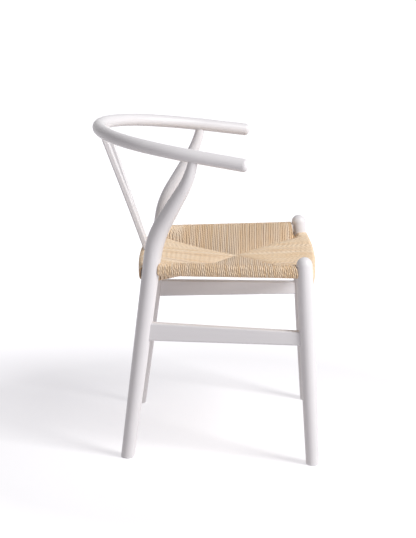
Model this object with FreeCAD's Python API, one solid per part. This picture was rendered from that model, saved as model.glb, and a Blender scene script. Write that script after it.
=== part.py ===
import FreeCAD, Part
import math
import os

from FreeCAD import Placement, Rotation, Vector

# A painted wooden armchair with a bent top rail, a forked back splat and a woven cord seat.
# Millimetres. The sitter faces -Y, +Z is up and +X is the sitter's left.
# The model is laid out about the middle of the four feet and moved at the end,
# so that the origin lies on the floor under the middle of the whole chair.

# Front legs: turned, straight, leaning back and a little inwards, with a domed top
FRONT_FOOT_X = 236.7
FRONT_FOOT_Y = -206.8
FRONT_TOP_X = 233.5
FRONT_TOP_Y = -182.2
FRONT_LEG_HEIGHT = 470.0
FRONT_FOOT_DIAMETER = 28.6
FRONT_SWELL_DIAMETER = 37.4
FRONT_SWELL_HEIGHT = 375.0
FRONT_CROWN_DIAMETER = 35.0
FRONT_LOWER_FULLNESS = 0.37
FRONT_UPPER_FULLNESS = 0.77

# Back legs: straight and raked up to the bend, then swept outwards and forwards to the top rail
BACK_FOOT_X = 200.0
BACK_FOOT_Y = 207.1
BACK_LEG_RAKE = 7.33
BACK_BEND_HEIGHT = 463.0
BACK_BEND_RADIUS = 182.0
BACK_SWEEP_RUN = 87.7
BACK_FOOT_DIAMETER = 30.2
BACK_SEAT_DIAMETER = 39.0
BACK_SHOULDER_DIAMETER = 40.0
BACK_TOP_DIAMETER = 19.5
BACK_SHOULDER_RUN = 38.0
BACK_TAPER_POWER = 1.3
FOOT_EASING = 1.5

# Top rail: a round bar bent in one plane that rises to the rear
RAIL_DIAMETER = 29.0
RAIL_REAR_Y = 278.8
RAIL_REAR_Z = 720.8
RAIL_TILT = 7.9
RAIL_REAR_RADIUS = 226.6
RAIL_REAR_SWEEP = 60.65
RAIL_SHOULDER_RADIUS = 411.0
RAIL_SHOULDER_SWEEP = 18.25
RAIL_ARM_LENGTH = 106.5
RAIL_TIP_ROUNDING = 10.0
ARM_JOINT_FROM_BEND = 13.0
ARM_TENON_DIAMETER = 12.0
ARM_TENON_RISE = 8.0

# Back splat: a flat forked plate leaning back from the rear seat rail to the top rail
SPLAT_THICKNESS = 12.5
SPLAT_STEM_WIDTH = 40.0
SPLAT_TOP_WIDTH = 114.0
SPLAT_PRONG_WIDTH = 20.5
SPLAT_CROTCH_HEIGHT = 545.0
SPLAT_STEM_HOLD = 0.46
SPLAT_OUTER_FLARE_WIDTH = 0.65
SPLAT_OUTER_FLARE_HEIGHT = 0.63
SPLAT_INNER_FLARE_WIDTH = 0.58
SPLAT_INNER_FLARE_HEIGHT = 0.42
SPLAT_CROTCH_FULLNESS = 0.3
SPLAT_EDGE_ROUNDING = 3.0
SPLAT_FOOT_FORWARD = 5.8
SPLAT_HEAD_FORWARD = 3.6
SPLAT_TENON_THICKNESS = 8.0
SPLAT_TENON_DEPTH = 13.0
SPLAT_PRONG_DEPTH = 12.0

# Seat rails: the front and rear rails are bowed outwards and lie below the side rails
SEAT_RAIL_HEIGHT = 21.0
SEAT_RAIL_DEPTH = 21.0
SEAT_RAIL_ROUNDING = 5.0
FRONT_RAIL_Z = 415.0
FRONT_RAIL_SETBACK = 4.0
FRONT_RAIL_BOW = 10.5
REAR_RAIL_Z = 422.0
REAR_RAIL_SETBACK = 10.0
REAR_RAIL_BOW = 10.5
SIDE_RAIL_FRONT_Z = 438.0
SIDE_RAIL_BACK_Z = 434.0
SEAT_TENON_DIAMETER = 11.0
SEAT_TENON_LENGTH = 14.0

# Stretchers: flat boards, the side pair lower and tapering towards the front
SIDE_STRETCHER_THICKNESS = 18.0
SIDE_STRETCHER_BOTTOM = 273.0
SIDE_STRETCHER_BACK_HEIGHT = 41.5
SIDE_STRETCHER_FRONT_HEIGHT = 31.0
CROSS_STRETCHER_THICKNESS = 16.0
CROSS_STRETCHER_HEIGHT = 32.0
CROSS_STRETCHER_BOTTOM = 329.0
STRETCHER_ROUNDING = 4.0
STRETCHER_TENON_THICKNESS = 9.0
STRETCHER_TENON_SHOULDER = 5.0
STRETCHER_TENON_LENGTH = 14.0

# Woven seat: cord wound over the rails, dipping to the middle on both faces
CORD_DIAMETER = 3.5
WEAVE_CENTRE_Y = -35.0
WEAVE_CENTRE_Z = 421.0
WEAVE_CENTRE_THICKNESS = 12.0
WEAVE_BELOW_WRAP = 0.9
WEAVE_MITRE_FRONT_DROP = 8.0
WEAVE_MITRE_BACK_DROP = 12.0
WEAVE_MITRE_FRONT_RISE = 11.0

# Tacks that hold the cord ends on the inner faces of the seat rails
TACK_HEAD_DIAMETER = 5.0
TACK_HEAD_THICKNESS = 1.0
TACK_SHANK_DIAMETER = 1.6
TACK_SHANK_LENGTH = 9.0
TACK_SPACING = 180.0

# Fits
JOINT_GAP = 0.15
TENON_END_GAP = 1.0
WEAVE_GAP = 0.4

UP = Vector(0, 0, 1)
ACROSS = Vector(1, 0, 0)
NEARLY_PARALLEL = 0.9
FLOOR_ALLOWANCE = 8.0
BACK_RING_SPACING = 25.0
RING_POINTS = 16


def along(start, end, share):
    return start + (end - start) * share


def at_height(start, end, height):
    """The point of a slanting line at this height."""
    return along(start, end, (height - start.z) / (end.z - start.z))


def bezier(*poles):
    curve = Part.BezierCurve()
    curve.setPoles(list(poles))
    return curve.toShape()


def line(start, end):
    return Part.makeLine(start, end)


def mirrored(shape):
    return shape.mirror(Vector(0, 0, 0), ACROSS)


def rod(start, direction, length, diameter):
    return Part.makeCylinder(diameter / 2, length, start, direction)


def single(shape):
    """The one solid of a cut or a union, without the seams that the operation left."""
    solids = sorted(shape.removeSplitter().Solids, key=lambda solid: solid.Volume)
    return solids[-1]


def eased_foot(leg, foot, diameter):
    """Cut a leg level with the floor and ease the edge of its foot by a 45 degree chamfer."""
    base = diameter / 2 - FOOT_EASING
    height = leg.BoundBox.ZMax + FLOOR_ALLOWANCE
    return single(leg.common(Part.makeCone(base, base + height, height, foot)))


# Top rail

def rail_plane_point(sideways, inward):
    """A point in the tilted plane of the rail, measured from the middle of its rear."""
    tilt = math.radians(RAIL_TILT)
    return Vector(
        sideways,
        RAIL_REAR_Y - inward * math.cos(tilt),
        RAIL_REAR_Z - inward * math.sin(tilt),
    )


def arc_point(centre_inward, centre_sideways, radius, degrees):
    angle = math.radians(degrees)
    return rail_plane_point(
        centre_sideways + radius * math.sin(angle),
        centre_inward - radius * math.cos(angle),
    )


def shoulder_centre():
    """Sideways and inward place of the centre of the wider arc that runs into an arm."""
    sweep = math.radians(RAIL_REAR_SWEEP)
    step = RAIL_REAR_RADIUS - RAIL_SHOULDER_RADIUS
    return step * math.sin(sweep), RAIL_REAR_RADIUS - step * math.cos(sweep)


def shoulder_point(degrees):
    sideways, inward = shoulder_centre()
    return arc_point(inward, sideways, RAIL_SHOULDER_RADIUS, degrees)


ARM_ANGLE = RAIL_REAR_SWEEP + RAIL_SHOULDER_SWEEP
ARM_START = shoulder_point(ARM_ANGLE)
ARM_DIRECTION = rail_plane_point(
    math.cos(math.radians(ARM_ANGLE)), math.sin(math.radians(ARM_ANGLE))
) - rail_plane_point(0, 0)
ARM_END = ARM_START + ARM_DIRECTION * RAIL_ARM_LENGTH
ARM_JOINT = ARM_START - ARM_DIRECTION * ARM_JOINT_FROM_BEND


def rail_path():
    half_rear = arc_point(RAIL_REAR_RADIUS, 0, RAIL_REAR_RADIUS, RAIL_REAR_SWEEP)
    middle_shoulder = shoulder_point(RAIL_REAR_SWEEP + RAIL_SHOULDER_SWEEP / 2)

    def other(point):
        return Vector(-point.x, point.y, point.z)

    edges = [
        line(ARM_END, ARM_START),
        Part.Arc(ARM_START, middle_shoulder, half_rear).toShape(),
        Part.Arc(half_rear, rail_plane_point(0, 0), other(half_rear)).toShape(),
        Part.Arc(other(half_rear), other(middle_shoulder), other(ARM_START)).toShape(),
        line(other(ARM_START), other(ARM_END)),
    ]
    return Part.Wire(edges)


def rail_bar(diameter):
    section = Part.Circle(ARM_END, ARM_DIRECTION, diameter / 2).toShape()
    return rail_path().makePipe(Part.Face(Part.Wire(section)))


def rail_with_tips():
    bar = rail_bar(RAIL_DIAMETER)
    rims = [edge for edge in bar.Edges if edge.BoundBox.YMax < ARM_END.y + RAIL_DIAMETER / 2
            and edge.isClosed()]
    return bar.makeFillet(RAIL_TIP_ROUNDING, rims)


# Legs

FRONT_FOOT = Vector(FRONT_FOOT_X, FRONT_FOOT_Y, 0)
FRONT_TOP = Vector(FRONT_TOP_X, FRONT_TOP_Y, FRONT_LEG_HEIGHT)
BACK_FOOT = Vector(BACK_FOOT_X, BACK_FOOT_Y, 0)
BACK_AXIS = Vector(0, -math.sin(math.radians(BACK_LEG_RAKE)), math.cos(math.radians(BACK_LEG_RAKE)))


def front_axis_at(height):
    return at_height(FRONT_FOOT, FRONT_TOP, height)


def back_axis_at(height):
    return BACK_FOOT + BACK_AXIS * (height / BACK_AXIS.z)


def front_leg_body(extra):
    """The turned front leg, its radius enlarged by extra."""
    length = (FRONT_TOP - FRONT_FOOT).Length
    foot = FRONT_FOOT_DIAMETER / 2 + extra
    swell = FRONT_SWELL_DIAMETER / 2 + extra
    crown = FRONT_CROWN_DIAMETER / 2 + extra
    top = length + extra
    shoulder = top - crown
    dome = Vector(crown * math.cos(math.pi / 4), 0, shoulder + crown * math.sin(math.pi / 4))
    neck = (shoulder - FRONT_SWELL_HEIGHT) / 3
    outline = Part.Wire([
        line(Vector(0, 0, -FLOOR_ALLOWANCE), Vector(foot, 0, -FLOOR_ALLOWANCE)),
        line(Vector(foot, 0, -FLOOR_ALLOWANCE), Vector(foot, 0, 0)),
        bezier(
            Vector(foot, 0, 0),
            Vector(along(foot, swell, FRONT_LOWER_FULLNESS), 0, FRONT_SWELL_HEIGHT / 3),
            Vector(swell, 0, FRONT_SWELL_HEIGHT * FRONT_UPPER_FULLNESS),
            Vector(swell, 0, FRONT_SWELL_HEIGHT),
        ),
        bezier(
            Vector(swell, 0, FRONT_SWELL_HEIGHT),
            Vector(swell, 0, FRONT_SWELL_HEIGHT + neck),
            Vector(crown, 0, shoulder - neck),
            Vector(crown, 0, shoulder),
        ),
        Part.Arc(Vector(crown, 0, shoulder), dome, Vector(0, 0, top)).toShape(),
        line(Vector(0, 0, top), Vector(0, 0, -FLOOR_ALLOWANCE)),
    ])
    turned = Part.Face(outline).revolve(Vector(0, 0, 0), UP, 360)
    turned.Placement = Placement(FRONT_FOOT, Rotation(UP, FRONT_TOP - FRONT_FOOT))
    return turned


def back_leg_stations():
    """Points and directions along the back leg, with the radius of the leg at each.

    Above the bend the axis is an arc, a straight run and an arc back, in one plane, and it ends
    on the axis of the top rail, parallel to the lower leg. The second radius follows from that end.
    """
    reach = ARM_JOINT - BACK_FOOT
    rise = reach.dot(BACK_AXIS)
    sideways = reach - BACK_AXIS * rise
    offset = sideways.Length
    sideways.normalize()
    bend_start = BACK_BEND_HEIGHT / BACK_AXIS.z
    climb = rise - bend_start
    both_radii = (climb ** 2 + offset ** 2 - BACK_SWEEP_RUN ** 2) / (2 * offset)
    upper_radius = both_radii - BACK_BEND_RADIUS
    turn = math.atan2(both_radii * climb + BACK_SWEEP_RUN * (offset - both_radii),
                      BACK_SWEEP_RUN * climb - both_radii * (offset - both_radii))
    run_start = BACK_BEND_RADIUS * turn
    run_end = run_start + BACK_SWEEP_RUN
    sweep_length = run_end + upper_radius * turn

    def place(rise_by, offset_by, lean):
        point = BACK_FOOT + BACK_AXIS * (bend_start + rise_by) + sideways * offset_by
        heading = BACK_AXIS * math.cos(lean) + sideways * math.sin(lean)
        return point, heading

    def swept(distance):
        if distance >= run_end:
            lean = (sweep_length - distance) / upper_radius
            return place(
                climb - upper_radius * math.sin(lean),
                offset - upper_radius * (1 - math.cos(lean)),
                lean,
            )
        lean = min(distance / BACK_BEND_RADIUS, turn)
        straight = max(distance - run_start, 0)
        return place(
            BACK_BEND_RADIUS * math.sin(lean) + straight * math.cos(lean),
            BACK_BEND_RADIUS * (1 - math.cos(lean)) + straight * math.sin(lean),
            lean,
        )

    def radius(distance):
        if distance <= 0:
            share = 1 + distance / bend_start
            return along(BACK_FOOT_DIAMETER, BACK_SEAT_DIAMETER, share) / 2
        if distance <= BACK_SHOULDER_RUN:
            share = distance / BACK_SHOULDER_RUN
            return along(BACK_SEAT_DIAMETER, BACK_SHOULDER_DIAMETER, math.sin(share * math.pi / 2)) / 2
        share = (distance - BACK_SHOULDER_RUN) / (sweep_length - BACK_SHOULDER_RUN)
        return along(BACK_SHOULDER_DIAMETER, BACK_TOP_DIAMETER, share ** BACK_TAPER_POWER) / 2

    stations = []
    whole = FLOOR_ALLOWANCE + bend_start + sweep_length
    steps = round(whole / BACK_RING_SPACING)
    for step in range(steps + 1):
        distance = whole * step / steps - FLOOR_ALLOWANCE - bend_start
        point, heading = swept(distance) if distance > 0 else place(distance, 0, 0)
        stations.append((point, heading, radius(distance)))
    return stations, sideways.cross(BACK_AXIS)


def skin(rings):
    """A solid whose side is one smooth surface through rings of points, closed by flat ends."""
    count = len(rings[0])
    tracks = []
    for place in range(count):
        track = Part.BSplineCurve()
        track.interpolate(Points=[ring[place] for ring in rings], Parameters=list(range(len(rings))))
        tracks.append(track)
    columns = []
    for row in range(tracks[0].NbPoles):
        around = Part.BSplineCurve()
        around.interpolate(Points=[track.getPole(row + 1) for track in tracks], PeriodicFlag=True,
                           Parameters=list(range(count + 1)))
        columns.append(around)
    poles = [[column.getPole(place + 1) for column in columns] for place in range(columns[0].NbPoles)]
    surface = Part.BSplineSurface()
    surface.buildFromPolesMultsKnots(
        poles, columns[0].getMultiplicities(), tracks[0].getMultiplicities(),
        columns[0].getKnots(), tracks[0].getKnots(), True, False, columns[0].Degree, tracks[0].Degree)
    side = surface.toShape()
    ends = [Part.Face(Part.Wire(surface.vIso(value).toShape())) for value in (0, len(rings) - 1)]
    shell = Part.makeShell([side] + ends)
    shell.sewShape()
    return Part.Solid(shell)


def back_leg_body(extra):
    """The back leg up to the axis of the top rail, its radius enlarged by extra."""
    stations, normal = back_leg_stations()
    rings = []
    for point, heading, radius in stations:
        other = heading.cross(normal)
        turns = [2 * math.pi * place / RING_POINTS for place in range(RING_POINTS)]
        rings.append([point + (normal * math.cos(turn) + other * math.sin(turn)) * (radius + extra)
                      for turn in turns])
    return skin(rings)


# Seat rails

def bowed_bar(end_x, end_y, bow, middle_z, depth, height, rounding):
    """A bar across the chair, bowed by bow in the middle, with rounded long edges."""
    half = depth / 2

    def side(offset):
        return Part.Arc(
            Vector(-end_x, end_y + offset, middle_z - height / 2),
            Vector(0, end_y + bow + offset, middle_z - height / 2),
            Vector(end_x, end_y + offset, middle_z - height / 2),
        ).toShape()

    front = side(-half)
    rear = side(half)
    ends = [line(front.Vertexes[index].Point, rear.Vertexes[index].Point) for index in (0, 1)]
    plan = Part.Face(Part.Wire(Part.__sortEdges__([front, rear] + ends)))
    return rounded_along(plan.extrude(UP * height), ACROSS, rounding)


def straight_bar(start, end, thickness, start_height, end_height, rounding):
    """A bar between two points, upright in section, whose height may taper."""
    heading = Vector(end.x - start.x, end.y - start.y, 0)
    heading.normalize()
    out = UP.cross(heading) * (thickness / 2)

    def section(point, height):
        rise = UP * (height / 2)
        corners = [point - out - rise, point + out - rise, point + out + rise, point - out + rise]
        return Part.makePolygon(corners + corners[:1])

    bar = Part.makeLoft([section(start, start_height), section(end, end_height)], True, True)
    return rounded_along(bar, heading, rounding)


def rounded_along(bar, heading, rounding):
    """Round the long edges of a bar, those that run along its heading."""
    long_edges = []
    for edge in bar.Edges:
        chord = edge.Vertexes[-1].Point - edge.Vertexes[0].Point
        if abs(chord.dot(heading)) > NEARLY_PARALLEL * chord.Length:
            long_edges.append(edge)
    return bar.makeFillet(rounding, long_edges)


FRONT_RAIL_END = front_axis_at(FRONT_RAIL_Z)
REAR_RAIL_END = back_axis_at(REAR_RAIL_Z)
SIDE_RAIL_FRONT = front_axis_at(SIDE_RAIL_FRONT_Z)
SIDE_RAIL_BACK = back_axis_at(SIDE_RAIL_BACK_Z)
FRONT_RAIL_Y = FRONT_RAIL_END.y - FRONT_RAIL_SETBACK
REAR_RAIL_Y = REAR_RAIL_END.y + REAR_RAIL_SETBACK
REAR_RAIL_TOP = REAR_RAIL_Z + SEAT_RAIL_HEIGHT / 2


def front_rail_bar(extra):
    return bowed_bar(FRONT_RAIL_END.x, FRONT_RAIL_Y, -FRONT_RAIL_BOW, FRONT_RAIL_Z,
                     SEAT_RAIL_DEPTH + 2 * extra, SEAT_RAIL_HEIGHT + 2 * extra, SEAT_RAIL_ROUNDING + extra)


def rear_rail_bar(extra):
    return bowed_bar(REAR_RAIL_END.x, REAR_RAIL_Y, REAR_RAIL_BOW, REAR_RAIL_Z,
                     SEAT_RAIL_DEPTH + 2 * extra, SEAT_RAIL_HEIGHT + 2 * extra, SEAT_RAIL_ROUNDING + extra)


def side_rail_bar(extra):
    height = SEAT_RAIL_HEIGHT + 2 * extra
    return straight_bar(SIDE_RAIL_FRONT, SIDE_RAIL_BACK, SEAT_RAIL_DEPTH + 2 * extra,
                        height, height, SEAT_RAIL_ROUNDING + extra)


# Joints: each tenon is made twice, once for the piece and once, with the fit, for its mortise

def round_tenon(leg_axis, inward, radius_there, fit):
    """A round tenon that enters a leg from the side that inward points to."""
    depth = SEAT_TENON_LENGTH + (TENON_END_GAP if fit else 0)
    start = leg_axis + inward * (radius_there + SEAT_TENON_LENGTH / 2)
    return rod(start, -inward, SEAT_TENON_LENGTH / 2 + depth, SEAT_TENON_DIAMETER + 2 * fit)


def flat_tenon(leg_axis, inward, radius_there, height, fit):
    """A flat tenon on a stretcher, with a shoulder above, below and at each side."""
    depth = STRETCHER_TENON_LENGTH + (TENON_END_GAP if fit else 0)
    tall = height - 2 * STRETCHER_TENON_SHOULDER + 2 * fit
    start = leg_axis + inward * (radius_there + STRETCHER_TENON_LENGTH / 2)
    end = leg_axis + inward * (radius_there - depth)
    return straight_bar(start, end, STRETCHER_TENON_THICKNESS + 2 * fit, tall, tall, SPLAT_EDGE_ROUNDING)


def heading_between(start, end):
    heading = end - start
    heading.normalize()
    return heading


def front_radius():
    return FRONT_SWELL_DIAMETER / 2


def back_radius(height):
    return along(BACK_FOOT_DIAMETER, BACK_SEAT_DIAMETER, height / BACK_BEND_HEIGHT) / 2


SIDE_RAIL_HEADING = heading_between(SIDE_RAIL_FRONT, SIDE_RAIL_BACK)


def side_rail_tenons(fit):
    at_front = round_tenon(SIDE_RAIL_FRONT, SIDE_RAIL_HEADING, front_radius(), fit)
    at_back = round_tenon(SIDE_RAIL_BACK, -SIDE_RAIL_HEADING, back_radius(SIDE_RAIL_BACK_Z), fit)
    return at_front, at_back


def front_rail_tenon(fit):
    axis = Vector(FRONT_RAIL_END.x, FRONT_RAIL_Y, FRONT_RAIL_Z)
    return round_tenon(axis, -ACROSS, front_radius(), fit)


def rear_rail_chord():
    """Distance from a back leg's axis to its surface, along the line of the rear rail."""
    return math.sqrt(back_radius(REAR_RAIL_Z) ** 2 - REAR_RAIL_SETBACK ** 2)


def rear_rail_tenon(fit):
    axis = Vector(REAR_RAIL_END.x, REAR_RAIL_Y, REAR_RAIL_Z)
    return round_tenon(axis, -ACROSS, rear_rail_chord(), fit)


def rear_rail_shoulder():
    """What is sawn off the end of the rear rail, which stands further back than the leg."""
    size = 2 * SEAT_RAIL_DEPTH
    return Part.makeBox(size, size, size, Vector(
        REAR_RAIL_END.x - rear_rail_chord(), REAR_RAIL_Y - SEAT_RAIL_DEPTH, REAR_RAIL_Z - SEAT_RAIL_DEPTH))


def side_stretcher_ends():
    """Middles of the side stretcher at the axes of the front and the back leg."""
    front_z = SIDE_STRETCHER_BOTTOM + SIDE_STRETCHER_FRONT_HEIGHT / 2
    back_z = SIDE_STRETCHER_BOTTOM + SIDE_STRETCHER_BACK_HEIGHT / 2
    return front_axis_at(front_z), back_axis_at(back_z)


def side_stretcher_tenons(fit):
    front, back = side_stretcher_ends()
    heading = heading_between(front, back)
    at_front = flat_tenon(front, heading, front_radius(), SIDE_STRETCHER_FRONT_HEIGHT, fit)
    at_back = flat_tenon(back, -heading, back_radius(back.z), SIDE_STRETCHER_BACK_HEIGHT, fit)
    return at_front, at_back


CROSS_STRETCHER_Z = CROSS_STRETCHER_BOTTOM + CROSS_STRETCHER_HEIGHT / 2


def front_stretcher_tenon(fit):
    return flat_tenon(front_axis_at(CROSS_STRETCHER_Z), -ACROSS, front_radius(), CROSS_STRETCHER_HEIGHT, fit)


def back_stretcher_tenon(fit):
    radius = back_radius(CROSS_STRETCHER_Z)
    return flat_tenon(back_axis_at(CROSS_STRETCHER_Z), -ACROSS, radius, CROSS_STRETCHER_HEIGHT, fit)


def arm_tenon(fit):
    """The round tenon on top of a back leg, inside the top rail."""
    start = ARM_JOINT - BACK_AXIS * RAIL_DIAMETER
    rise = ARM_TENON_RISE + (TENON_END_GAP if fit else 0)
    return rod(start, BACK_AXIS, RAIL_DIAMETER + rise, ARM_TENON_DIAMETER + 2 * fit)


# Back splat

def rail_axis_at(sideways):
    """The axis of the top rail at this distance from the middle of the chair."""
    return rail_plane_point(sideways, RAIL_REAR_RADIUS - math.sqrt(RAIL_REAR_RADIUS ** 2 - sideways ** 2))


def splat_point(sideways, height):
    """A point of the plate's middle plane, which runs a little in front of the two rails' axes."""
    foot = Vector(0, REAR_RAIL_Y + REAR_RAIL_BOW - SPLAT_FOOT_FORWARD, REAR_RAIL_Z)
    head = rail_axis_at((SPLAT_TOP_WIDTH - SPLAT_PRONG_WIDTH) / 2)
    on_plane = at_height(foot, Vector(0, head.y - SPLAT_HEAD_FORWARD, head.z), height)
    return Vector(sideways, on_plane.y, height)


def splat_tenon(fit):
    """The upright tenon under the plate's stem, which reaches up into the plate."""
    shoulder = (SPLAT_THICKNESS - SPLAT_TENON_THICKNESS) / 2
    width = SPLAT_STEM_WIDTH - 2 * shoulder + 2 * fit
    thickness = SPLAT_TENON_THICKNESS + 2 * fit
    depth = SPLAT_TENON_DEPTH + (TENON_END_GAP if fit else 0)
    corner = splat_point(-width / 2, REAR_RAIL_TOP) - Vector(0, thickness / 2, depth)
    return Part.makeBox(width, thickness, depth + shoulder, corner)


def splat_plate(fit):
    """The forked plate, sawn level where it stands on the rear rail, grown by fit for its housings."""
    stem = SPLAT_STEM_WIDTH / 2 + fit
    outer = SPLAT_TOP_WIDTH / 2 + fit
    inner = SPLAT_TOP_WIDTH / 2 - SPLAT_PRONG_WIDTH - fit
    end_gap = TENON_END_GAP if fit else 0
    thickness = SPLAT_THICKNESS + 2 * fit
    foot = REAR_RAIL_TOP + JOINT_GAP - fit
    low = foot - thickness
    rail = rail_axis_at((SPLAT_TOP_WIDTH - SPLAT_PRONG_WIDTH) / 2)
    under_rail = rail.z - RAIL_DIAMETER / 2
    high = under_rail + SPLAT_PRONG_DEPTH + end_gap
    crotch = SPLAT_CROTCH_HEIGHT + fit
    spread = under_rail - REAR_RAIL_TOP
    lean = (outer - stem) * SPLAT_PRONG_DEPTH / spread

    def outer_side(sign):
        return [
            bezier(
                splat_point(sign * stem, low),
                splat_point(sign * stem, along(REAR_RAIL_TOP, under_rail, SPLAT_STEM_HOLD)),
                splat_point(sign * along(stem, outer, SPLAT_OUTER_FLARE_WIDTH),
                            along(REAR_RAIL_TOP, under_rail, SPLAT_OUTER_FLARE_HEIGHT)),
                splat_point(sign * outer, under_rail),
            ),
            line(splat_point(sign * outer, under_rail), splat_point(sign * (outer + lean), high)),
            line(splat_point(sign * (outer + lean), high), splat_point(sign * (inner + lean), high)),
            line(splat_point(sign * (inner + lean), high), splat_point(sign * inner, under_rail)),
            bezier(
                splat_point(sign * inner, under_rail),
                splat_point(sign * inner * SPLAT_INNER_FLARE_WIDTH,
                            along(crotch, under_rail, SPLAT_INNER_FLARE_HEIGHT)),
                splat_point(sign * inner * SPLAT_CROTCH_FULLNESS, crotch),
                splat_point(0, crotch),
            ),
        ]

    edges = outer_side(1) + outer_side(-1) + [line(splat_point(-stem, low), splat_point(stem, low))]
    face = Part.Face(Part.Wire(Part.__sortEdges__(edges)))
    normal = (splat_point(0, high) - splat_point(0, low)).cross(ACROSS)
    normal.normalize()
    face.translate(normal * (-thickness / 2))
    waste = Part.makeBox(2 * outer, 4 * thickness, 2 * thickness,
                         splat_point(-outer, foot) - Vector(0, 2 * thickness, 2 * thickness))
    plate = face.extrude(normal * thickness).cut(waste)
    rims = []
    for edge in plate.Edges:
        middle = edge.valueAt((edge.FirstParameter + edge.LastParameter) / 2)
        on_a_face = abs((middle - splat_point(0, middle.z)).dot(normal)) > thickness / 4
        if on_a_face and foot + thickness < middle.z < under_rail - thickness:
            rims.append(edge)
    return single(plate.makeFillet(SPLAT_EDGE_ROUNDING, rims).fuse(splat_tenon(fit)))


# Woven seat

WRAP_RISE = SEAT_RAIL_HEIGHT / 2 + CORD_DIAMETER


def triangle(*points):
    return Part.Face(Part.makePolygon(list(points) + [points[0]]))


def weave_side(way):
    """Faces and rim of one half of the weave, on top where way is 1 and beneath where it is -1.

    Each face is ruled from a rail to the mitres, which run from the corners to the middle.
    """
    level = way * (WRAP_RISE - WEAVE_BELOW_WRAP)
    inset = SEAT_RAIL_DEPTH / 2 + CORD_DIAMETER
    on_top = way > 0
    front_drop = WEAVE_MITRE_FRONT_DROP if on_top else -WEAVE_MITRE_FRONT_RISE
    back_drop = WEAVE_MITRE_BACK_DROP if on_top else 0
    middle = Vector(0, WEAVE_CENTRE_Y, WEAVE_CENTRE_Z if on_top else WEAVE_CENTRE_Z - WEAVE_CENTRE_THICKNESS)
    front = Vector(FRONT_RAIL_END.x, FRONT_RAIL_Y, FRONT_RAIL_Z + level)
    back = Vector(REAR_RAIL_END.x, REAR_RAIL_Y, REAR_RAIL_Z + level)
    front_middle = Vector(0, front.y, front.z)
    back_middle = Vector(0, back.y, back.z)
    side_front = SIDE_RAIL_FRONT + UP * level
    side_back = SIDE_RAIL_BACK + UP * level
    middle_share = (WEAVE_CENTRE_Y - side_front.y) / (side_back.y - side_front.y)
    side_middle = along(side_front, side_back, middle_share)
    front_mitre = Vector(front.x - inset, front.y + inset, front.z - front_drop)
    back_mitre = Vector(back.x - inset, back.y - inset, back.z - back_drop)
    faces = [
        Part.makeRuledSurface(line(front, front_middle), line(front_mitre, middle)),
        Part.makeRuledSurface(line(back, back_middle), line(back_mitre, middle)),
        Part.makeRuledSurface(line(side_front, side_middle), line(front_mitre, middle)),
        Part.makeRuledSurface(line(side_back, side_middle), line(back_mitre, middle)),
        triangle(front, front_mitre, side_front),
        triangle(back, back_mitre, side_back),
    ]
    return faces, [front_middle, front, side_front, side_back, back, back_middle]


def weave_body():
    upper, upper_rim = weave_side(1)
    lower, lower_rim = weave_side(-1)
    half = upper + lower
    for corner in range(len(upper_rim) - 1):
        above, below = [line(rim[corner], rim[corner + 1]) for rim in (upper_rim, lower_rim)]
        half.append(Part.makeRuledSurface(above, below))
    shell = Part.makeShell(half + [mirrored(face) for face in half])
    shell.sewShape()
    return Part.Solid(shell)


def corner_notch(axis, radius, facing):
    """The square clearing round a leg, from its inner sides outwards; facing is -1 in front, 1 behind."""
    reach = 2 * SEAT_RAIL_DEPTH + 2 * radius
    inner_y = axis.y - facing * (radius + WEAVE_GAP)
    low = Vector(axis.x - radius - WEAVE_GAP, min(inner_y, inner_y + facing * reach), axis.z - reach)
    return Part.makeBox(reach, reach, 2 * reach, low)


def woven_seat(splat):
    front_notch = corner_notch(front_axis_at(SIDE_RAIL_FRONT_Z + WRAP_RISE), front_radius(), -1)
    back_notch = corner_notch(back_axis_at(SIDE_RAIL_BACK_Z + WRAP_RISE), back_radius(BACK_BEND_HEIGHT), 1)
    side_wrap = side_rail_bar(CORD_DIAMETER)
    side_rail = side_rail_bar(WEAVE_GAP)
    tacks = [each for group in cord_tacks(WEAVE_GAP).values() for each in group]
    body = weave_body().multiFuse(
        [front_rail_bar(CORD_DIAMETER), rear_rail_bar(CORD_DIAMETER), side_wrap, mirrored(side_wrap)])
    for tool in [front_notch, mirrored(front_notch), back_notch, mirrored(back_notch),
                 front_rail_bar(WEAVE_GAP), rear_rail_bar(WEAVE_GAP), side_rail, mirrored(side_rail),
                 splat] + tacks:
        body = body.cut(tool)
    return single(body)


# Tacks

def tack(seat, inward, fit):
    """A tack with its head on a rail's inner face and its shank in the rail."""
    head = rod(seat, inward, TACK_HEAD_THICKNESS + fit, TACK_HEAD_DIAMETER + 2 * fit)
    shank = rod(seat - inward * TACK_SHANK_LENGTH, inward, TACK_SHANK_LENGTH, TACK_SHANK_DIAMETER)
    return head.fuse(shank).removeSplitter()


def cord_tacks(fit):
    """Two tacks on each rail, listed by rail."""
    inner = SEAT_RAIL_DEPTH / 2
    spread = TACK_SPACING / 2
    tacks = {"front": [], "back": [], "left": []}
    for sign in (-1, 1):
        front_seat = bow_y(FRONT_RAIL_END.x, FRONT_RAIL_Y, -FRONT_RAIL_BOW, spread) + inner
        back_seat = bow_y(REAR_RAIL_END.x, REAR_RAIL_Y, REAR_RAIL_BOW, spread) - inner
        tacks["front"].append(tack(Vector(sign * spread, front_seat, FRONT_RAIL_Z), Vector(0, 1, 0), fit))
        tacks["back"].append(tack(Vector(sign * spread, back_seat, REAR_RAIL_Z), Vector(0, -1, 0), fit))
        middle = along(SIDE_RAIL_FRONT, SIDE_RAIL_BACK, 0.5) + SIDE_RAIL_HEADING * (sign * spread)
        inward = SIDE_RAIL_HEADING.cross(UP) * -1
        inward.normalize()
        tacks["left"].append(tack(middle + inward * inner, inward, fit))
    tacks["right"] = [mirrored(each) for each in tacks["left"]]
    return tacks


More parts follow.
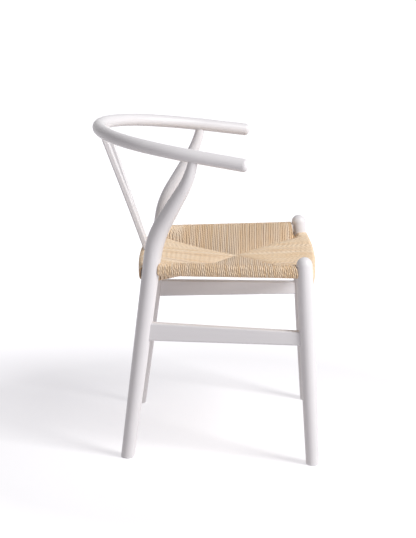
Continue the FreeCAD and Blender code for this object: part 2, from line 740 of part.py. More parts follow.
def bow_y(end_x, end_y, bow, sideways):
    """The middle line of a bowed rail at this distance from the middle of the chair."""
    radius = (end_x ** 2 + bow ** 2) / (2 * abs(bow))
    drop = radius - math.sqrt(radius ** 2 - sideways ** 2)
    return end_y + bow - math.copysign(drop, bow)


def build():
    rail = rail_with_tips()
    rail_envelope = rail_bar(RAIL_DIAMETER + 2 * JOINT_GAP)
    front_envelope = front_leg_body(JOINT_GAP)
    back_envelope = back_leg_body(JOINT_GAP)

    front_sockets = [side_rail_tenons(JOINT_GAP)[0], side_stretcher_tenons(JOINT_GAP)[0],
                     front_rail_tenon(JOINT_GAP), front_stretcher_tenon(JOINT_GAP)]
    back_sockets = [side_rail_tenons(JOINT_GAP)[1], side_stretcher_tenons(JOINT_GAP)[1],
                    rear_rail_tenon(JOINT_GAP), back_stretcher_tenon(JOINT_GAP)]
    front_leg = single(eased_foot(front_leg_body(0), FRONT_FOOT, FRONT_FOOT_DIAMETER).cut(front_sockets))
    back_leg = eased_foot(back_leg_body(0), BACK_FOOT, BACK_FOOT_DIAMETER)
    back_leg = single(back_leg.cut(rail_envelope)).fuse(arm_tenon(0))
    back_leg = single(back_leg.cut(back_sockets))

    splat = splat_plate(0)
    splat_mortise = splat_tenon(JOINT_GAP)
    arm_sockets = [arm_tenon(JOINT_GAP)]
    arm_sockets += [mirrored(socket) for socket in arm_sockets]
    rail = single(rail.cut(arm_sockets + [splat_plate(JOINT_GAP)]))

    tacks = cord_tacks(0)
    side_rail = side_rail_bar(0).cut([front_envelope, back_envelope])
    side_rail = single(single(side_rail).multiFuse(list(side_rail_tenons(0))).cut(tacks["left"]))
    front_tenons = [front_rail_tenon(0), mirrored(front_rail_tenon(0))]
    front_rail = single(front_rail_bar(0).cut([front_envelope, mirrored(front_envelope)]))
    front_rail = single(front_rail.multiFuse(front_tenons).cut(tacks["front"]))
    rear_tenons = [rear_rail_tenon(0), mirrored(rear_rail_tenon(0))]
    rear_cuts = [back_envelope, rear_rail_shoulder()]
    rear_rail = single(rear_rail_bar(0).cut(rear_cuts + [mirrored(cut) for cut in rear_cuts]))
    rear_rail = single(rear_rail.multiFuse(rear_tenons).cut(tacks["back"] + [splat_mortise]))

    stretcher_front, stretcher_back = side_stretcher_ends()
    side_stretcher = straight_bar(
        stretcher_front, stretcher_back, SIDE_STRETCHER_THICKNESS,
        SIDE_STRETCHER_FRONT_HEIGHT, SIDE_STRETCHER_BACK_HEIGHT, STRETCHER_ROUNDING)
    side_stretcher = single(side_stretcher.cut([front_envelope, back_envelope]))
    side_stretcher = single(side_stretcher.multiFuse(list(side_stretcher_tenons(0))))

    def cross_stretcher(axis, envelope, tenon):
        bar = straight_bar(Vector(-axis.x, axis.y, axis.z), axis, CROSS_STRETCHER_THICKNESS,
                           CROSS_STRETCHER_HEIGHT, CROSS_STRETCHER_HEIGHT, STRETCHER_ROUNDING)
        bar = single(bar.cut([envelope, mirrored(envelope)]))
        return single(bar.multiFuse([tenon, mirrored(tenon)]))

    pieces = {
        "top_rail": rail,
        "back_splat": splat,
        "front_leg_left": front_leg,
        "back_leg_left": back_leg,
        "seat_rail_left": side_rail,
        "seat_rail_front": front_rail,
        "seat_rail_back": rear_rail,
        "side_stretcher_left": side_stretcher,
        "front_stretcher": cross_stretcher(front_axis_at(CROSS_STRETCHER_Z), front_envelope,
                                           front_stretcher_tenon(0)),
        "back_stretcher": cross_stretcher(back_axis_at(CROSS_STRETCHER_Z), back_envelope,
                                          back_stretcher_tenon(0)),
        "cord_tacks": Part.makeCompound([each for group in tacks.values() for each in group]),
        "woven_seat": woven_seat(splat_plate(WEAVE_GAP)),
    }
    for name in ("front_leg", "back_leg", "seat_rail", "side_stretcher"):
        pieces[name + "_right"] = mirrored(pieces[name + "_left"])
    return pieces


def main():
    os.makedirs("parts", exist_ok=True)
    rear = RAIL_REAR_Y + RAIL_DIAMETER / 2
    front = FRONT_FOOT_Y - FRONT_FOOT_DIAMETER / 2
    to_origin = Vector(0, -(rear + front) / 2, 0)
    for name, shape in build().items():
        shape.translate(to_origin)
        shape.exportStep(os.path.join("parts", name + ".step"))
        box = shape.BoundBox
        print(f"{name}: {len(shape.Solids)} solid, valid {shape.isValid()}, {shape.Volume / 1000:.1f} cm3, "
              f"x {box.XMin:.1f} to {box.XMax:.1f}, y {box.YMin:.1f} to {box.YMax:.1f}, "
              f"z {box.ZMin:.1f} to {box.ZMax:.1f}")


main()
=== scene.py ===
import math
import random
from functools import partial

import bpy
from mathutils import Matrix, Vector


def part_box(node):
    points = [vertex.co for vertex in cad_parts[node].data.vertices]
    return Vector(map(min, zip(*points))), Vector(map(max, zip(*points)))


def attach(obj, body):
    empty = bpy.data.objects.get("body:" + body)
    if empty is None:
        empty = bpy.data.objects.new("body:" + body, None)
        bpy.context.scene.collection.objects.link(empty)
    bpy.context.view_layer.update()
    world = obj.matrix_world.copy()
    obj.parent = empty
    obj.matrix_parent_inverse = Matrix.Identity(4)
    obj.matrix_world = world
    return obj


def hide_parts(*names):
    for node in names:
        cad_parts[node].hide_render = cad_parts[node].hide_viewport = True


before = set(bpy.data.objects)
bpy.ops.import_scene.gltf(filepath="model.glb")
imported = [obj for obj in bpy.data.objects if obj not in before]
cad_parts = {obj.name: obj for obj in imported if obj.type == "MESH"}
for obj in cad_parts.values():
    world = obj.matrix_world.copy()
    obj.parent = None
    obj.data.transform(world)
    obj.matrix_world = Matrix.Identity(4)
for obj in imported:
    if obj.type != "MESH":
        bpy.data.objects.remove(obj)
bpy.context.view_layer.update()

# A white lacquered armchair with a seat of woven cord, on a pale studio floor.
# Metres. The sitter faces -Y, +Z is up and +X is the sitter's left.

ALONG_X = Vector((1, 0, 0))
ALONG_Y = Vector((0, 1, 0))
UP = Vector((0, 0, 1))

# Camera, at the photograph's viewing angle, with its sensor in millimetres
CAMERA_PLACE = Vector((-3.7133, -0.1047, 1.2611))
CAMERA_YAW = math.radians(1.549)
CAMERA_PITCH = math.radians(13.229)
FOCAL_PIXELS = 1650
IMAGE_LONG_SIDE = 538
SENSOR = 36.0
CLIP_END = 100

# Colours, linear
LACQUER_PALE = (0.815, 0.797, 0.81, 1)
LACQUER_SHADE = (0.76, 0.737, 0.75, 1)
CORD_PALE = (0.97, 0.83, 0.66, 1)
CORD_TAN = (0.86, 0.62, 0.37, 1)
# Painted shade: the dark brown put into the cord's ply grooves and where neighbouring runs touch
CORD_PAINTED_SHADE = (0.38, 0.18, 0.07, 1)
STEEL = (0.42, 0.42, 0.43, 1)
FLOOR_COLOUR = (0.54, 0.54, 0.54, 1)
FLOOR_BOUNCE = (0.88, 0.86, 0.87, 1)
FLOOR_TINT = (0.975, 0.962, 1, 1)
WHITE = (1, 1, 1, 1)
SHADE_TINT = (1, 0.965, 1, 1)

# Cord: radius and how far it varies, spacing on the rails, sides of its mesh, twist and plies
CORD_RADIUS = 0.00208
RADIUS_RANGE = (0.95, 1.03)
CORD_PITCH = 0.0042
CORD_SIDES = 8
CORD_LAY = 0.011
CORD_PLIES = 3

# Run of a winding: its points, its slant across the rail, its unevenness and its tuck at the mitre
RUN_STEP = 0.022
OUTER_CORNER_STEPS = 4
INNER_CORNER_STEPS = 3
SLANT = 0.003
WANDER = 0.00012
WANDER_LENGTH = 0.022
RISE_SPREAD = 0.00012
TUCK_LENGTH = 0.0035
TUCK_DEPTH = 0.0036

# Second layer of cord, seen in the gaps between the windings
SECOND_LAYER_DROP = 0.0036
SECOND_LAYER_START = 0.0125
SECOND_LAYER_TONES = (0, 0.4)

# Windings that close up in pairs at the mitre, from this place along the rail onward
PAIRING = 0.0008
PAIRING_LENGTH = 0.035
PAIRED_FROM = 0.015

# Windings that lie loose: their share of all, and how far they stray
LOOSE_SHARE = 0.04
LOOSE_SHIFT = 0.0009

# Seat rails under the cord
RAIL_ROUNDING = 0.005
FRONT_LOW, FRONT_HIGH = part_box("seat_rail_front")
BACK_LOW, BACK_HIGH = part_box("seat_rail_back")
RAIL_HALF = (FRONT_HIGH.z - FRONT_LOW.z) / 2
FRONT_MIDDLE_Y = FRONT_LOW.y + RAIL_HALF
FRONT_Z = FRONT_LOW.z + RAIL_HALF
FRONT_HALF_SPAN = 0.2339
FRONT_BOW = -0.0105
BACK_MIDDLE_Y = BACK_HIGH.y - RAIL_HALF
BACK_Z = BACK_LOW.z + RAIL_HALF
BACK_HALF_SPAN = 0.2
BACK_BOW = 0.0105
SIDE_FRONT = Vector((0.2337, -0.22, 0.438))
SIDE_BACK = Vector((0.2, 0.1152, 0.434))

# Legs beside the windings: x and y of the axis at the seat's height, rake in y, and radius
SEAT_HEIGHT = 0.43
FRONT_LEG = (0.2338, -0.2204, 0.052, 0.0181)
BACK_LEG = (0.2, 0.1157, -0.126, 0.0192)
LEG_GAP = 0.0003

# Ends of the windings at the legs, and the length over which they crowd up there
FRONT_WINDING_END = 0.2215
BACK_WINDING_END = 0.192
SIDE_WINDING_START = -0.2046
SIDE_WINDING_END = 0.1015
CROWDED = 0.045

# Mitres, where the four fields meet: the middle and two corners, each as x, y, upper z and lower z
WEAVE_MIDDLE_Y = -0.0711
WEAVE_MIDDLE = (0.0, WEAVE_MIDDLE_Y, 0.421, 0.409)
FRONT_MITRE = (0.185, -0.2112, 0.4225, 0.4129)
BACK_MITRE = (0.176, 0.1127, 0.4235, 0.4)
# How far a mitre bows from a straight line half-way along: outward, and up on the upper face
FRONT_MITRE_BOW = (-0.004, 0.003)
BACK_MITRE_BOW = (0.016, -0.0063)

RANDOM = random.Random(24)

# Range in which most of a noise texture's values lie, and its roughness
NOISE_RANGE = (0.3, 0.7)
NOISE_ROUGHNESS = 0.55

# Lacquer: grain stretched along each piece, pale clouds, sheen, and relief as strength and depth
GRAIN_STRETCH = 0.06
BEND_STRETCH = 0.02
GRAIN_SCALE = 900
GRAIN_DETAIL = 4
CLOUD_SCALE = 60
CLOUD_DETAIL = 2
CLOUD_STRENGTH = 0.5
LACQUER_ROUGHNESS = (0.36, 0.48)
COAT_WEIGHT = 0.15
COAT_ROUGHNESS = 0.3
GRAIN_RELIEF = (0.12, 0.0004)

# Cord's surface: fibres, patches and tone, and painted shade in the grooves between plies and between
# neighbours
FIBRE_SCALE = 700
FIBRE_DETAIL = 3
PATCH_SCALE = 30
PATCH_DETAIL = 2
TONE_WEIGHT = 0.8
PATCH_WEIGHT = 0.6
SHADE_RANGE = (0.2, 1.2)
SPECKLE_RANGE = (0.35, 0.75)
SPECKLE_STRENGTH = 0.5
# Painted shade in the grooves between plies: width of the darkened band, and its depth in the side and
# in the long fields
GROOVE_SHADE_WIDTH = 0.4
SIDE_GROOVE_SHADE = 0.7
LONG_GROOVE_SHADE = 0.42
# Painted shade on the flanks where neighbouring runs touch: where it starts round the cord, and how
# dark it gets
FLANK_SHADE_RANGE = (0.7, 1.0)
FLANK_SHADE_STRENGTH = 0.65
CORD_ROUGHNESS = (0.46, 0.62)
CORD_SPECULAR = 1.0
FIBRE_HEIGHT = 0.3
CORD_RELIEF = (0.8, 0.0008)

# Steel of the tacks
SCRATCH_SCALE = 2500
SCRATCH_DETAIL = 3
STEEL_ROUGHNESS = (0.25, 0.45)
SCRATCH_RELIEF = (0.1, 0.0001)

# Way the wood's grain runs in each piece
GRAIN = {
    "top_rail": "bend",
    "back_splat": "z",
    "front_leg_left": "z",
    "front_leg_right": "z",
    "back_leg_left": "z",
    "back_leg_right": "z",
    "seat_rail_left": "y",
    "seat_rail_right": "y",
    "seat_rail_front": "x",
    "seat_rail_back": "x",
    "side_stretcher_left": "y",
    "side_stretcher_right": "y",
    "front_stretcher": "x",
    "back_stretcher": "x",
}

# Studio: one softbox, placed from the chair's middle, with its power in watts, and ambient light
CHAIR_MIDDLE = Vector((0, 0, 0.4))
SOFTBOX_AZIMUTH = math.radians(239)
SOFTBOX_ELEVATION = math.radians(36)
SOFTBOX_DISTANCE = 5.4
SOFTBOX_WIDTH = 1.6
SOFTBOX_HEIGHT = 4.0
SOFTBOX_POWER = 270
AMBIENT = 0.252

# Floor, with a glow that turns it white away from the chair and keeps the feet's shadows soft
FLOOR_HALF = 20.0
SHADOW_REACH = 0.6
SHADOW_END = 1.3
FLOOR_GLOW = 0.6
FEET_REACH = 0.3
FEET_GLOW = 0.05


def along(start, end, share):
    return start + (end - start) * share


def clamped(share):
    return max(0, min(1, share))


def direction(azimuth, elevation):
    return Vector((
        math.cos(elevation) * math.cos(azimuth),
        math.cos(elevation) * math.sin(azimuth),
        math.sin(elevation),
    ))


def add_object(name, data):
    thing = bpy.data.objects.new(name, data)
    bpy.context.scene.collection.objects.link(thing)
    return thing


# Cord windings

def mitre_at(share, corner, bow):
    """Point of a mitre between the weave's middle and one corner: x, y, upper z, lower z.

    The bow adds a parabola, 4 * share * (1 - share), that is 1 half-way along.
    """
    share = min(share, 1)
    x, y, upper_z, lower_z = [along(a, b, share) for a, b in zip(WEAVE_MIDDLE, corner)]
    bulge = 4 * share * (1 - share)
    return x + bow[0] * bulge, y, upper_z + bow[1] * bulge, lower_z


def share_beside(x, corner, bow):
    """The share at which mitre_at has this x: its parabola's root from 0 to 1, or 1 past the corner."""
    if x >= corner[0]:
        return 1
    bend = 4 * bow[0]
    slope = corner[0] + bend
    return (slope - math.sqrt(slope ** 2 - 4 * bend * x)) / (2 * bend)


def bowed_y(x, middle_y, half_span, bow):
    return middle_y - bow * (x / half_span) ** 2


def front_run(x):
    """Rail point, outward direction, reach to the mitre, and the mitre's upper and lower z."""
    share = share_beside(abs(x), FRONT_MITRE, FRONT_MITRE_BOW)
    _, mitre_y, upper_z, lower_z = mitre_at(share, FRONT_MITRE, FRONT_MITRE_BOW)
    rail = Vector((x, bowed_y(x, FRONT_MIDDLE_Y, FRONT_HALF_SPAN, FRONT_BOW), FRONT_Z))
    return rail, -ALONG_Y, mitre_y - rail.y, upper_z, lower_z


def back_run(x):
    """The same for the rear rail."""
    share = share_beside(abs(x), BACK_MITRE, BACK_MITRE_BOW)
    _, mitre_y, upper_z, lower_z = mitre_at(share, BACK_MITRE, BACK_MITRE_BOW)
    rail = Vector((x, bowed_y(x, BACK_MIDDLE_Y, BACK_HALF_SPAN, BACK_BOW), BACK_Z))
    return rail, ALONG_Y, rail.y - mitre_y, upper_z, lower_z


def side_run(side, y):
    """The same for a side rail, on the sitter's left for side 1 and on the right for side -1."""
    corner, bow = BACK_MITRE, BACK_MITRE_BOW
    if y < WEAVE_MIDDLE_Y:
        corner, bow = FRONT_MITRE, FRONT_MITRE_BOW
    share = (y - WEAVE_MIDDLE_Y) / (corner[1] - WEAVE_MIDDLE_Y)
    mitre_x, _, upper_z, lower_z = mitre_at(share, corner, bow)
    rail = along(SIDE_FRONT, SIDE_BACK, (y - SIDE_FRONT.y) / (SIDE_BACK.y - SIDE_FRONT.y))
    reach = rail.x - mitre_x
    return Vector((side * rail.x, rail.y, rail.z)), side * ALONG_X, reach, upper_z, lower_z


def tangent_angle(target, centre, radius):
    """Where a taut cord from the top of a round corner leaves it for the target, as an angle."""
    gap = (target[0] - centre[0], target[1] - centre[1])
    return math.atan2(gap[1], gap[0]) + math.acos(radius / math.hypot(*gap))


def arc(centre, radius, start, end, count):
    angles = [along(start, end, step / count) for step in range(count + 1)]
    return [(centre[0] + radius * math.cos(a), centre[1] + radius * math.sin(a)) for a in angles]


def straight(start, end):
    """Points after start on the way to end, about one step apart."""
    count = max(2, round(math.dist(start, end) / RUN_STEP))
    shares = [step / count for step in range(1, count + 1)]
    return [tuple(along(a, b, share) for a, b in zip(start, end)) for share in shares]


def upper_leg(reach, height):
    """A winding's upper half, seen along the rail: from half-way up the outer side to the mitre.

    Points are (inward, up) from the rail's middle. At the mitre the cord tucks under: a third of
    the depth on the first half of its way, and then the rest.
    """
    inset = RAIL_HALF - RAIL_ROUNDING
    radius = RAIL_ROUNDING + CORD_RADIUS
    target = (reach, height)
    leave = tangent_angle(target, (inset, inset), radius)
    points = [(-RAIL_HALF - CORD_RADIUS, 0.0)]
    points += arc((-inset, inset), radius, math.pi, math.pi / 2, OUTER_CORNER_STEPS)
    points += arc((inset, inset), radius, math.pi / 2, leave, INNER_CORNER_STEPS)
    points += straight(points[-1], target)
    slope = (height - points[-2][1]) / max(reach - points[-2][0], CORD_RADIUS)
    points.append((reach + TUCK_LENGTH / 2, height + slope * TUCK_LENGTH / 2 - TUCK_DEPTH / 3))
    points.append((reach + TUCK_LENGTH, height - TUCK_DEPTH))
    return points


def winding_path(rail, upper_z, lower_z, reach):
    """A whole winding from the lower mitre, round the rail and up to the upper mitre.

    Points are (inward, up, way), where way is -1 on the lower half and 1 on the upper half.
    """
    upper = upper_leg(reach, upper_z - CORD_RADIUS - rail.z)
    lower = upper_leg(reach, rail.z - lower_z - CORD_RADIUS)
    below = [(inward, -up, -1) for inward, up in reversed(lower)]
    return below[:-1] + [(inward, up, 1) for inward, up in upper]


def lean_at(inward, up, way):
    """How far a winding has moved along its rail: not at all half-way up the outer side, all inside."""
    share = 1
    if inward < 0:
        share = min(abs(up), RAIL_HALF) / RAIL_HALF / 2 + max(inward + RAIL_HALF, 0) / RAIL_HALF / 2
    return way * share * SLANT


def squeezed(point, sideways, ends):
    """Moves a point along its rail, so that the last cords crowd up beside a leg and don't cut it."""
    x, y, rake, radius = FRONT_LEG if point.y < WEAVE_MIDDLE_Y else BACK_LEG
    axis = Vector((math.copysign(x, point.x), y + rake * (point.z - SEAT_HEIGHT), point.z))
    apart = point - axis
    along_rail = apart.dot(sideways)
    across = (apart - sideways * along_rail).length
    clear = radius + CORD_RADIUS + LEG_GAP
    if across >= clear:
        return point
    nearest = math.sqrt(clear ** 2 - across ** 2)
    leg_place = axis.dot(sideways)
    inner = -1 if leg_place > ends[0] + ends[1] - leg_place else 1
    last = min(abs(end - leg_place) for end in ends)
    distance = along_rail * inner
    if nearest <= last or distance >= last + CROWDED:
        return point
    room = (last + CROWDED - nearest) / CROWDED
    return point + sideways * inner * (nearest + (distance - last) * room - distance)


class Tubes:
    """Gathers cord runs into one mesh, with their length, turn and tone."""

    def __init__(self):
        self.points = []
        self.faces = []
        self.uvs = []
        self.tones = []

    def add(self, path, sideways, radius, tone):
        """One closed tube along a path that lies almost in a plane square to sideways."""
        first = len(self.points)
        travelled = RANDOM.random() * CORD_LAY
        lengths = []
        for place, point in enumerate(path):
            before = path[max(place - 1, 0)]
            after = path[min(place + 1, len(path) - 1)]
            travelled += (point - before).length
            lengths.append(travelled / CORD_LAY)
            normal = (after - before).cross(sideways).normalized()
            for side in range(CORD_SIDES):
                turn = 2 * math.pi * side / CORD_SIDES
                spoke = sideways * math.cos(turn) + normal * math.sin(turn)
                self.points.append(point + spoke * radius)
                self.tones.append(tone)
        for ring in range(len(path) - 1):
            for side in range(CORD_SIDES):
                following = (side + 1) % CORD_SIDES
                low = first + ring * CORD_SIDES
                high = low + CORD_SIDES
                self.faces.append((low + side, low + following, high + following, high + side))
                left, right = side / CORD_SIDES, (side + 1) / CORD_SIDES
                self.uvs += [(lengths[ring], left), (lengths[ring], right),
                             (lengths[ring + 1], right), (lengths[ring + 1], left)]
        last = first + (len(path) - 1) * CORD_SIDES
        self.faces.append(tuple(first + side for side in reversed(range(CORD_SIDES))))
        self.faces.append(tuple(last + side for side in range(CORD_SIDES)))
        self.uvs += [(lengths[0], 0.0)] * CORD_SIDES + [(lengths[-1], 0.0)] * CORD_SIDES

    def piece(self, name, material):
        mesh = bpy.data.meshes.new(name)
        mesh.from_pydata(self.points, [], self.faces)
        mesh.polygons.foreach_set("use_smooth", [True] * len(self.faces))
        layer = mesh.uv_layers.new(name="cord")
        layer.data.foreach_set("uv", [value for uv in self.uvs for value in uv])
        mesh.attributes.new("tone", "FLOAT", "POINT").data.foreach_set("value", self.tones)
        mesh.materials.append(material)
        mesh.validate()
        piece = add_object(name, mesh)
        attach(piece, "root")
        return piece


def winding(run, place, number, sideways, ends):
    """One winding of the upper layer, a little uneven: its path, radius and tone."""
    rail, outward, reach, upper_z, lower_z = run(place)
    tone = RANDOM.uniform(0, 1)
    radius = CORD_RADIUS * RANDOM.uniform(*RADIUS_RANGE)
    phase = RANDOM.uniform(0, 2 * math.pi)
    rise = RANDOM.gauss(0, RISE_SPREAD)
    loose = LOOSE_SHIFT if RANDOM.random() < LOOSE_SHARE else 0
    aside = PAIRING if number % 2 else -PAIRING
    pairing = aside if place > PAIRED_FROM else 0
    path = []
    for inward, up, way in winding_path(rail, upper_z, lower_z, reach):
        wander = WANDER * math.sin(phase + inward / WANDER_LENGTH)
        paired = pairing * clamped(1 + (inward - reach) / PAIRING_LENGTH)
        bulge = loose * math.sin(math.pi * clamped(inward / reach))
        lift = way * (rise * clamped(inward / reach * 2) + bulge)
        along_rail = lean_at(inward, up, way) + wander + paired + bulge
        point = rail - outward * inward + UP * (up + lift) + sideways * along_rail
        path.append(squeezed(point, sideways, ends))
    return path, radius, tone


def second_layer_path(run, place, sideways):
    """A run below the windings, from inside the rail to the upper mitre."""
    rail, outward, reach, upper_z, _ = run(place)
    upper = upper_leg(reach, upper_z - CORD_RADIUS - rail.z)
    inner = [(inward, up) for inward, up in upper if inward > SECOND_LAYER_START]
    return [rail - outward * inward + UP * (up - SECOND_LAYER_DROP) + sideways * SLANT
            for inward, up in inner]


def wind_field(name, run, start, end, sideways, material):
    """All the windings over one rail, with a second layer of cord half a pitch aside underneath."""
    tubes = Tubes()
    count = round((end - start) / CORD_PITCH)
    pitch = (end - start) / count
    for number in range(count + 1):
        place = start + number * pitch
        path, radius, tone = winding(run, place, number, sideways, (start, end))
        tubes.add(path, sideways, radius, tone)
        if number < count:
            path = second_layer_path(run, place + pitch / 2, sideways)
            if len(path) > 2:
                tubes.add(path, sideways, CORD_RADIUS, RANDOM.uniform(*SECOND_LAYER_TONES))
    return tubes.piece(name, material)


def weave_seat():
    """The seat's four fields, whose order is also the order of the random draws."""
    # The two cords differ only in how dark their painted groove shade is
    long_cord = cord_material("natural_cord_long", LONG_GROOVE_SHADE)
    side_cord = cord_material("natural_cord_side", SIDE_GROOVE_SHADE)
    fields = (
        ("cord_front", front_run, -FRONT_WINDING_END, FRONT_WINDING_END, ALONG_X, long_cord),
        ("cord_back", back_run, -BACK_WINDING_END, BACK_WINDING_END, ALONG_X, long_cord),
        ("cord_left", partial(side_run, 1), SIDE_WINDING_START, SIDE_WINDING_END, ALONG_Y, side_cord),
        ("cord_right", partial(side_run, -1), SIDE_WINDING_START, SIDE_WINDING_END, ALONG_Y, side_cord),
    )
    for field in fields:
        piece = wind_field(*field)
        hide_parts("woven_seat")


# Materials

class Nodes:
    """The node tree of a material or world, with short ways to add and join nodes."""

    # Sockets of a Mix node that mixes colours
    MIX_SHARE = 0
    MIX_FIRST = 6
    MIX_SECOND = 7
    MIX_RESULT = 2

    def __init__(self, owner):
        owner.use_nodes = True
        self.owner = owner
        self.tree = owner.node_tree

    @property
    def shader(self):
        return self.tree.nodes["Principled BSDF"]

    def feed(self, socket, value):
        if isinstance(value, bpy.types.NodeSocket):
            self.tree.links.new(value, socket)
        else:
            socket.default_value = value

    def add(self, kind, inputs=(), **settings):
        node = self.tree.nodes.new(kind)
        for key, value in settings.items():
            setattr(node, key, value)
        for socket, value in dict(inputs).items():
            self.feed(node.inputs[socket], value)
        return node

    def surface(self, inputs):
        for socket, value in inputs.items():
            self.feed(self.shader.inputs[socket], value)

    def place(self):
        return self.add("ShaderNodeTexCoord").outputs["Object"]

    def length(self, vector):
        return self.add("ShaderNodeVectorMath", {0: vector}, operation="LENGTH").outputs["Value"]

    def math(self, operation, first, second=0.0):
        return self.add("ShaderNodeMath", {0: first, 1: second}, operation=operation).outputs[0]

    def noise(self, vector, scale, detail):
        node = self.add("ShaderNodeTexNoise", {
            "Vector": vector, "Scale": scale, "Detail": detail, "Roughness": NOISE_ROUGHNESS})
        return node.outputs["Fac"]

    def blend(self, share, first, second):
        inputs = {self.MIX_SHARE: share, self.MIX_FIRST: first, self.MIX_SECOND: second}
        return self.add("ShaderNodeMix", inputs, data_type="RGBA").outputs[self.MIX_RESULT]

    def spread(self, value, source, target):
        """Maps one range of values to another and holds the ends beyond it."""
        node = self.add("ShaderNodeMapRange", {
            "Value": value, "From Min": source[0], "From Max": source[1],
            "To Min": target[0], "To Max": target[1]})
        return node.outputs["Result"]

    def bump(self, height, relief):
        strength, distance = relief
        inputs = {"Height": height, "Strength": strength, "Distance": distance}
        self.surface({"Normal": self.add("ShaderNodeBump", inputs).outputs["Normal"]})


def grain_coordinates(nodes, grain):
    """Object coordinates in which noise is stretched along the grain: an axis, or the rail's bend."""
    place = nodes.place()
    if grain == "bend":
        parts = nodes.add("ShaderNodeSeparateXYZ", {"Vector": place}).outputs
        turn = nodes.math("ARCTAN2", parts["X"], parts["Y"])
        bend = nodes.add("ShaderNodeCombineXYZ", {
            "X": nodes.math("MULTIPLY", turn, BEND_STRETCH), "Y": nodes.length(place), "Z": parts["Z"]})
        return bend.outputs["Vector"]
    scale = [GRAIN_STRETCH if axis == grain else 1 for axis in "xyz"]
    return nodes.add("ShaderNodeMapping", {"Vector": place, "Scale": scale}).outputs["Vector"]


def lacquer(grain):
    """White satin lacquer over wood, whose grain shows faintly as relief and in the sheen."""
    nodes = Nodes(bpy.data.materials.new("white_lacquer_" + grain))
    place = grain_coordinates(nodes, grain)
    fibres = nodes.noise(place, GRAIN_SCALE, GRAIN_DETAIL)
    clouds = nodes.noise(place, CLOUD_SCALE, CLOUD_DETAIL)
    tint = nodes.spread(clouds, NOISE_RANGE, (0, CLOUD_STRENGTH))
    nodes.surface({
        "Base Color": nodes.blend(tint, LACQUER_PALE, LACQUER_SHADE),
        "Roughness": nodes.spread(fibres, NOISE_RANGE, LACQUER_ROUGHNESS),
        "Coat Weight": COAT_WEIGHT,
        "Coat Roughness": COAT_ROUGHNESS,
    })
    nodes.bump(fibres, GRAIN_RELIEF)
    return nodes.owner


def cord_material(name, groove_shade_depth):
    """Natural twisted cord: plies wind round each run, every run has its own tone, and shade is painted
    into the ply grooves and where runs touch.

    In the uv map, x counts the turns of the twist along a run and y goes once round it.
    """
    nodes = Nodes(bpy.data.materials.new(name))
    uv = nodes.add("ShaderNodeUVMap", uv_map="cord").outputs["UV"]
    parts = nodes.add("ShaderNodeSeparateXYZ", {"Vector": uv}).outputs
    turns = nodes.math("ADD", nodes.math("MULTIPLY", parts["Y"], CORD_PLIES), parts["X"])
    ply = nodes.math("ABSOLUTE", nodes.math("SINE", nodes.math("MULTIPLY", turns, math.pi)))
    around = nodes.math("COSINE", nodes.math("MULTIPLY", parts["Y"], 2 * math.pi))
    place = nodes.place()
    fibres = nodes.noise(place, FIBRE_SCALE, FIBRE_DETAIL)
    patches = nodes.noise(place, PATCH_SCALE, PATCH_DETAIL)
    tone = nodes.add("ShaderNodeAttribute", attribute_name="tone").outputs["Fac"]
    run_shade = nodes.math("MULTIPLY", tone, TONE_WEIGHT)
    shade = nodes.math("ADD", run_shade, nodes.math("MULTIPLY", patches, PATCH_WEIGHT))
    body = nodes.blend(nodes.spread(shade, SHADE_RANGE, (0, 1)), CORD_PALE, CORD_TAN)
    speckles = nodes.spread(fibres, SPECKLE_RANGE, (0, SPECKLE_STRENGTH))
    speckled = nodes.blend(speckles, body, CORD_TAN)
    # Painted shade: the grooves between plies and the flanks where neighbouring runs touch are darkened
    painted_groove_shade = nodes.spread(ply, (0, GROOVE_SHADE_WIDTH), (groove_shade_depth, 0))
    painted_flank_shade = nodes.spread(nodes.math("ABSOLUTE", around), FLANK_SHADE_RANGE, (0, FLANK_SHADE_STRENGTH))
    painted_shade = nodes.math("MAXIMUM", painted_groove_shade, painted_flank_shade)
    nodes.surface({
        "Base Color": nodes.blend(painted_shade, speckled, CORD_PAINTED_SHADE),
        "Roughness": nodes.spread(fibres, NOISE_RANGE, CORD_ROUGHNESS),
        "Specular IOR Level": CORD_SPECULAR,
    })
    nodes.bump(nodes.math("ADD", ply, nodes.math("MULTIPLY", fibres, FIBRE_HEIGHT)), CORD_RELIEF)
    return nodes.owner


def steel_material():
    nodes = Nodes(bpy.data.materials.new("tack_steel"))
    scratches = nodes.noise(nodes.place(), SCRATCH_SCALE, SCRATCH_DETAIL)
    nodes.surface({
        "Metallic": 1.0,
        "Base Color": nodes.blend(scratches, STEEL, LACQUER_SHADE),
        "Roughness": nodes.spread(scratches, NOISE_RANGE, STEEL_ROUGHNESS),
    })
    nodes.bump(scratches, SCRATCH_RELIEF)
    return nodes.owner


def set_material(piece, material):
    piece.data.materials.clear()
    piece.data.materials.append(material)


def finish_nodes():
    finishes = {grain: lacquer(grain) for grain in sorted(set(GRAIN.values()))}
    for name, grain in GRAIN.items():
        set_material(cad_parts[name], finishes[grain])
    set_material(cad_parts["cord_tacks"], steel_material())


# Studio

def seen_directly(nodes):
    """1 for what the camera, a mirror or glass sees, 0 for light that falls on the object."""
    path = nodes.add("ShaderNodeLightPath").outputs
    seen = nodes.math("MAXIMUM", path["Is Camera Ray"], path["Is Glossy Ray"])
    return nodes.math("MAXIMUM", seen, path["Is Transmission Ray"])


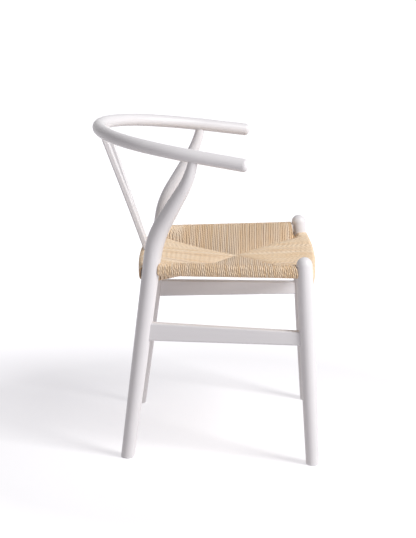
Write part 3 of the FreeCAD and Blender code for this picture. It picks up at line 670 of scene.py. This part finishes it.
def floor_material():
    """Matt floor whose own glow, seen directly only, fades it into the white background."""
    nodes = Nodes(bpy.data.materials.new("pale_floor"))
    nodes.tree.nodes.remove(nodes.shader)
    seen = seen_directly(nodes)
    colour = nodes.blend(seen, FLOOR_BOUNCE, FLOOR_COLOUR)
    matt = nodes.add("ShaderNodeBsdfDiffuse", {"Color": colour}).outputs["BSDF"]
    distance = nodes.length(nodes.place())
    outer = nodes.spread(distance, (SHADOW_REACH, SHADOW_END), (FLOOR_GLOW, 1))
    inner = nodes.spread(distance, (FEET_REACH, SHADOW_REACH), (FEET_GLOW, 0))
    strength = nodes.math("MULTIPLY", seen, nodes.math("ADD", outer, inner))
    glow = nodes.add("ShaderNodeEmission", {"Color": FLOOR_TINT, "Strength": strength})
    both = nodes.add("ShaderNodeAddShader", {0: matt, 1: glow.outputs["Emission"]})
    nodes.feed(nodes.tree.nodes["Material Output"].inputs["Surface"], both.outputs["Shader"])
    return nodes.owner


def add_floor():
    mesh = bpy.data.meshes.new("floor")
    corners = [(-FLOOR_HALF, -FLOOR_HALF, 0), (FLOOR_HALF, -FLOOR_HALF, 0),
               (FLOOR_HALF, FLOOR_HALF, 0), (-FLOOR_HALF, FLOOR_HALF, 0)]
    mesh.from_pydata(corners, [], [(0, 1, 2, 3)])
    mesh.materials.append(floor_material())
    floor = add_object("floor", mesh)


def add_world():
    nodes = Nodes(bpy.data.worlds.new("studio"))
    background = nodes.tree.nodes["Background"]
    seen = seen_directly(nodes)
    nodes.feed(background.inputs["Color"], nodes.blend(seen, SHADE_TINT, WHITE))
    nodes.feed(background.inputs["Strength"], nodes.math("MAXIMUM", seen, AMBIENT))
    bpy.context.scene.world = nodes.owner


def add_softbox():
    """One tall softbox to the front and right of the sitter, turned toward the chair's middle."""
    lamp = bpy.data.lights.new("softbox", "AREA")
    lamp.shape = "RECTANGLE"
    lamp.size = SOFTBOX_WIDTH
    lamp.size_y = SOFTBOX_HEIGHT
    lamp.energy = SOFTBOX_POWER
    light = add_object("softbox", lamp)
    toward = direction(SOFTBOX_AZIMUTH, SOFTBOX_ELEVATION)
    light.location = CHAIR_MIDDLE + toward * SOFTBOX_DISTANCE
    light.rotation_euler = (-toward).to_track_quat("-Z", "Y").to_euler()


def add_camera():
    lens = bpy.data.cameras.new("camera")
    lens.sensor_width = SENSOR
    lens.lens = FOCAL_PIXELS / IMAGE_LONG_SIDE * SENSOR
    lens.clip_end = CLIP_END
    camera = add_object("camera", lens)
    camera.location = CAMERA_PLACE
    gaze = direction(CAMERA_YAW, -CAMERA_PITCH)
    camera.rotation_euler = gaze.to_track_quat("-Z", "Y").to_euler()
    bpy.context.scene.camera = camera


finish_nodes()
weave_seat()
add_floor()
add_world()
add_softbox()
add_camera()
bpy.context.scene.view_settings.view_transform = "Standard"
